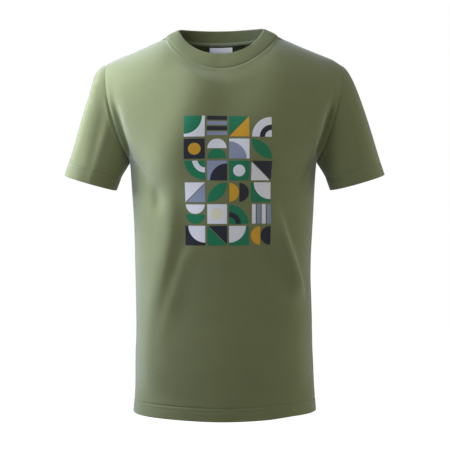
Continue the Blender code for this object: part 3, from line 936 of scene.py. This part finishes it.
def line(a, b):
    return lambda s: np.stack([mix(a[0], b[0], s), mix(a[1], b[1], s)], axis=-1)


def arc(centre, radius, start, end):
    def curve(s):
        turn = np.radians(mix(start, end, s))
        return np.stack([centre[0] + radius * np.cos(turn), centre[1] + radius * np.sin(turn)], axis=-1)
    return curve


def corner(a, b, c):  # from a round the corner b to c
    return lambda s: np.where((s < 0.5)[..., None], line(a, b)(2 * s), line(b, c)(2 * s - 1))


quarterArc = arc((0, 0), 0.86, 0, 90)
ringBands = [(0.0, 0.34), (0.34, 0.60), (0.60, 0.98)]
dotArcs = [arc((0.5, 0.5), 0.30, k * 90 - 45, k * 90 + 45) for k in range(4)]
dotSides = [((1, 0), (1, 1)), ((1, 1), (0, 1)), ((0, 1), (0, 0)), ((0, 0), (1, 0))]
# Each motif is a list of patches in a tile's first or second ink (0 or 1), each between two curves on a unit tile
# with x to the right and y down
motifs = {
    "quarter": [(0, line((0, 0), (0, 0)), quarterArc), (1, quarterArc, corner((1, 0), (1, 1), (0, 1)))],
    "rings": [(k % 2, arc((0, 0), a, 0, 90), arc((0, 0), b, 0, 90)) for k, (a, b) in enumerate(ringBands)],
    "halves": [(k, line((0, y), (1, y)), arc((0.5, y), 0.48, 180, 360)) for k, y in enumerate((0.48, 0.98))],
    "diagonal": [(0, line((0, 0), (1, 1)), line((1, 0), (1, 0))),
                 (1, line((0, 0.06), (0.94, 1)), line((0, 1), (0, 1)))],
    "dot": [(0, line((0.5, 0.5), (0.5, 0.5)), curve) for curve in dotArcs]
    + [(1, curve, line(*ends)) for curve, ends in zip(dotArcs, dotSides)],
    "leaf": [(0, arc((1, 0), 1, 180, 90), arc((0, 1), 1, 270, 360))],
    "stripes": [(k % 2, *[line((0, y), (1, y)) for y in (k / 4, k / 4 + 0.19)]) for k in range(4)],
}
# Motif, quarter turns, and the two inks of each tile
tiles = [
    "quarter 0 green white, stripes 0 charcoal grey, diagonal 1 yellow green, rings 2 white charcoal",
    "dot 0 yellow charcoal, halves 0 white green, quarter 3 grey white, leaf 0 green green",
    "rings 1 green white, quarter 2 charcoal grey, dot 0 white green, diagonal 0 charcoal white",
    "diagonal 3 white grey, leaf 1 green green, halves 1 charcoal yellow, quarter 1 white green",
    "halves 2 green white, dot 0 pale white, rings 3 green charcoal, stripes 1 grey white",
    "quarter 1 white charcoal, diagonal 2 green charcoal, quarter 0 white green, halves 3 yellow charcoal",
]


def turnedTile(points, quarters):
    x, y = points[..., 0] - 0.5, points[..., 1] - 0.5
    for k in range(quarters):
        x, y = -y, x
    return np.stack([x + 0.5, y + 0.5], axis=-1)


def printMesh():
    vertices, faces, corners, inkOf = [], [], [], []
    n = chestPrint["steps"] + 1
    cell = cells(np.arange(n * n).reshape(n, n)).reshape(-1, 4)
    across, depth = np.meshgrid(np.arange(n) / (n - 1), np.arange(n) / (n - 1))
    tile, step = chestPrint["tile"], chestPrint["tile"] + chestPrint["gap"]
    total = chestPrint["columns"] * step - chestPrint["gap"]
    for r, row in enumerate(tiles):
        for c, words in enumerate(row.split(", ")):
            motif, quarters, *tileInks = words.split()
            left = chestPrint["offset"] - total / 2 + c * step
            top = chestPrint["top"] + r * step
            for which, start, end in motifs[motif]:
                patch = turnedTile(mix(start(across), end(across), depth[..., None]), int(quarters))
                x, drop = left + patch[..., 0] * tile, top + patch[..., 1] * tile
                points, flat = onFront(x, drop, chestPrint["above"] + chestPrint["thickness"])
                a, b = np.moveaxis(patch.reshape(-1, 2)[cell], -1, 0)
                area = (a * np.roll(b, -1, axis=1) - np.roll(a, -1, axis=1) * b).sum(axis=1)
                ordered = np.where((area < 0)[:, None], cell, cell[:, ::-1])
                faces.append(ordered + len(vertices) * n * n)
                vertices.append(points.reshape(-1, 3))
                corners.append(flat.reshape(-1, 2)[ordered])
                inkOf += [list(inks).index(tileInks[which] + "Ink")] * len(cell)
    return np.concatenate(vertices), np.concatenate(faces), np.concatenate(corners), inkOf


vertices, faces, corners, inkOf = printMesh()
printPiece = addMesh("chestPrintInk", settled(vertices), faces, corners, finishes["greenInk"])
for name in list(inks)[1:]:
    printPiece.data.materials.append(finishes[name])
printPiece.data.polygons.foreach_set("material_index", inkOf)
edgeOfCorner = readAll(printPiece.data.loops, "edge_index", int)
outline = np.bincount(edgeOfCorner, minlength=len(printPiece.data.edges)) == 1
printPiece.data.edges.foreach_set("use_edge_sharp", outline)  # so the ink lies flat to its edge
finishPiece(thickened(printPiece, chestPrint["thickness"]), "print", "chest_print")

print("stage: stitches")

stitches = {
    "pitch": 0.0029, "length": 0.0023, "width": 0.00042, "height": 0.00032, "lift": 0.00005,
    "finePitch": 0.0024, "fineLength": 0.0018, "belowNeck": 0.0030, "hemRows": (1, 7),
}


def stitchTree():
    tree, given, result = newGroup("stitchLine", "GeometryNodeTree", {
        "Geometry": "Geometry", "Stitch Pitch": 0.003, "Stitch Length": 0.0024, "Thread Width": 0.0004,
        "Thread Height": 0.0003, "Material": "Material",
    }, {"Geometry": "Geometry"})
    curve = addNode(tree, "GeometryNodeMeshToCurve", {0: given["Geometry"]})
    spaced = addNode(tree, "GeometryNodeResampleCurve", {
        "Curve": curve.outputs[0], "Length": given["Stitch Pitch"],
    }, mode="LENGTH")
    bead = addNode(tree, "GeometryNodeMeshUVSphere", {"Segments": 8, "Rings": 5, "Radius": 0.5})
    softened = addNode(tree, "GeometryNodeSetShadeSmooth", {"Geometry": bead.outputs["Mesh"]})
    size = addNode(tree, "ShaderNodeCombineXYZ", {
        0: given["Stitch Length"], 1: given["Thread Width"], 2: given["Thread Height"],
    })
    upright = addNode(tree, "GeometryNodeInputNamedAttribute", {"Name": "outwards"}, data_type="FLOAT_VECTOR")
    tangent = addNode(tree, "GeometryNodeInputTangent")
    turn = addNode(tree, "FunctionNodeAxesToRotation", {
        0: upright.outputs[0], 1: tangent.outputs[0],
    }, primary_axis="Z", secondary_axis="X")
    row = addNode(tree, "GeometryNodeInstanceOnPoints", {
        "Points": spaced.outputs[0], "Instance": softened.outputs[0], "Rotation": turn.outputs[0],
        "Scale": size.outputs[0],
    })
    return endTree(tree, row.outputs[0], given, result)


stitchLine = stitchTree()
stitchPieces = {}


def stitchRow(name, lines, pitch, length):  # lines: points, directions outwards, and whether the line is closed
    edges, count = [], 0
    for points, outwards, closed in lines:
        steps = np.arange(len(points) - 1 + closed)
        edges += (count + np.stack([steps, (steps + 1) % len(points)], axis=1)).tolist()
        count += len(points)
    points, outwards = [np.concatenate([entry[n] for entry in lines]) for n in (0, 1)]
    mesh = bpy.data.meshes.new(name)
    mesh.from_pydata(settled(points).tolist(), edges, [])
    attribute = mesh.attributes.new("outwards", "FLOAT_VECTOR", "POINT")
    attribute.data.foreach_set("vector", outwards.astype(np.float32).ravel())
    mesh.materials.append(finishes["thread"])
    piece = placed(name, mesh)
    applyTree(piece, stitchLine, {
        "Stitch Pitch": pitch, "Stitch Length": length, "Thread Width": stitches["width"],
        "Thread Height": stitches["height"], "Material": finishes["thread"],
    })
    mesh = piece.data
    order = readAll(mesh.loops, "vertex_index", int)
    flat = readAll(mesh.vertices, "co", float, 3).reshape(-1, 3)[order][:, [0, 2]]
    mesh.uv_layers.new(name="cloth").data.foreach_set("uv", flat.astype(np.float32).ravel())
    stitchPieces[name] = finishPiece(piece, "jersey")


for name, (piece, outer, normals) in bands.items():
    lines = [(outer[row] + normals[row] * stitches["lift"], normals[row], True) for row in stitches["hemRows"]]
    stitchRow(f"{name}Stitches", lines, stitches["pitch"], stitches["length"])

lines = []
for name in ("front", "back"):
    grid = grids[name]
    columns = np.where(np.abs(grid["points"][0, :, 0]) < body["neckHalf"] - 0.002)[0]
    rows = np.argmax((grid["along"] - grid["along"][:1])[:, columns] > stitches["belowNeck"], axis=0)
    normals = grid["finalNormals"][rows, columns]
    lines.append((grid["final"][rows, columns] + normals * stitches["lift"], normals, False))
stitchRow("neckStitches", lines, stitches["finePitch"], stitches["fineLength"])

print("stage: cloth sizes")


def clothSize(points, closed=False):  # its greatest width and length, and its area
    if closed:
        points = joined(points)
    wide, deep = stepLengths(points, 1).sum(axis=1).max(), stepLengths(points, 0).sum(axis=0).max()
    crossed = np.cross(points[1:, 1:] - points[:-1, :-1], points[1:, :-1] - points[:-1, 1:])
    area = np.linalg.norm(crossed, axis=-1).sum() / 2
    return (round(float(wide), 3), round(float(deep), 3)), round(float(area), 4)


panels = {
    "front": [printPiece, bands["bodyHem"][0], stitchPieces["bodyHemStitches"]],
    "back": [neckTapePiece, labelPiece],
}
for name, more in panels.items():
    size, area = clothSize(grids[name]["final"])
for side in sides:
    size, area = clothSize(grids[side + "Sleeve"]["final"], closed=True)
    more = [bands[side + "SleeveHem"][0], stitchPieces[f"{side}SleeveHemStitches"]]

print("stage: light and camera")

camera = placed("camera", bpy.data.cameras.new("camera"))
camera.data.lens = 100
camera.data.sensor_width = 36
camera.location = (0.0026, -1.90, -0.171)
camera.rotation_euler = (math.radians(90 - 3.43), 0, 0)
scene.camera = camera

lampKinds = {
    "left": {"size": (0.35, 0.45), "aim": (-0.03, 0, -0.10), "tint": (0.93, 1.0, 1.30)},
    "front": {"size": (1.0, 1.0), "aim": (0, 0, -0.25), "tint": (1.08, 1.0, 0.82)},
    "right": {"size": (0.6, 1.2), "aim": (0, 0, -0.25), "tint": (1.0, 1.0, 1.0)},
}
studio = {
    "key": {"kind": "left", "at": (-0.644, -0.108, 0.260), "watts": 4.6},
    "side": {"kind": "left", "at": (-0.739, 0.0, 0.025), "watts": 6.9},
    "brow": {"kind": "left", "at": (-0.471, -0.441, 0.260), "watts": 3.1},
    "low": {"kind": "front", "at": (0.70, -1.85, -0.22), "aim": (0, 0, -0.22), "watts": 1.6},
    "high": {"kind": "front", "at": (0.648, -1.389, 1.036), "watts": 2.5},
    "rimHigh": {"kind": "right", "at": (1.296, -0.228, 0.229), "watts": 3.6},
    "rimLow": {"kind": "right", "at": (1.389, 0.122, -0.372), "watts": 4.4},
}
for name, lamp in studio.items():
    lamp = {**lampKinds[lamp["kind"]], **lamp}
    data = bpy.data.lights.new(name, "AREA")
    data.shape = "RECTANGLE"
    data.size, data.size_y = lamp["size"]
    data.energy = lamp["watts"]
    data.color = lamp["tint"]
    made = placed(name, data)
    made.location = lamp["at"]
    made.rotation_euler = (Vector(lamp["aim"]) - Vector(lamp["at"])).to_track_quat("-Z", "Y").to_euler()

backdrop = {"white": 0.91, "glow": 0.09, "floor": (0.86, 0.86, 0.86, 1), "floorGlow": 0.93, "floorHeight": -0.98}
world = bpy.data.worlds.new("studio")
scene.world = world
tree = nodesOf(world)
seen = addNode(tree, "ShaderNodeLightPath").outputs["Is Camera Ray"]
setInputs(tree, tree.nodes["Background"], {
    "Color": (1, 1, 1, 1), "Strength": maths(tree, "MULTIPLY_ADD", seen, backdrop["white"], backdrop["glow"]),
})

floorMaterial = bpy.data.materials.new("paleFloor")
tree = nodesOf(floorMaterial)
seen = addNode(tree, "ShaderNodeLightPath").outputs["Is Camera Ray"]
setInputs(tree, tree.nodes["Principled BSDF"], {
    "Base Color": backdrop["floor"], "Roughness": 0.9, "Emission Color": (1, 1, 1, 1),
    "Emission Strength": maths(tree, "MULTIPLY", seen, backdrop["floorGlow"]),
})
floorMesh = bpy.data.meshes.new("floor")
floorCorners = [(x, y, backdrop["floorHeight"]) for x, y in ((-9, -6), (9, -6), (9, 12), (-9, 12))]
floorMesh.from_pydata(floorCorners, [], [(0, 1, 2, 3)])
floorMesh.materials.append(floorMaterial)
floor = placed("floor", floorMesh)

scene.view_settings.view_transform = "Standard"
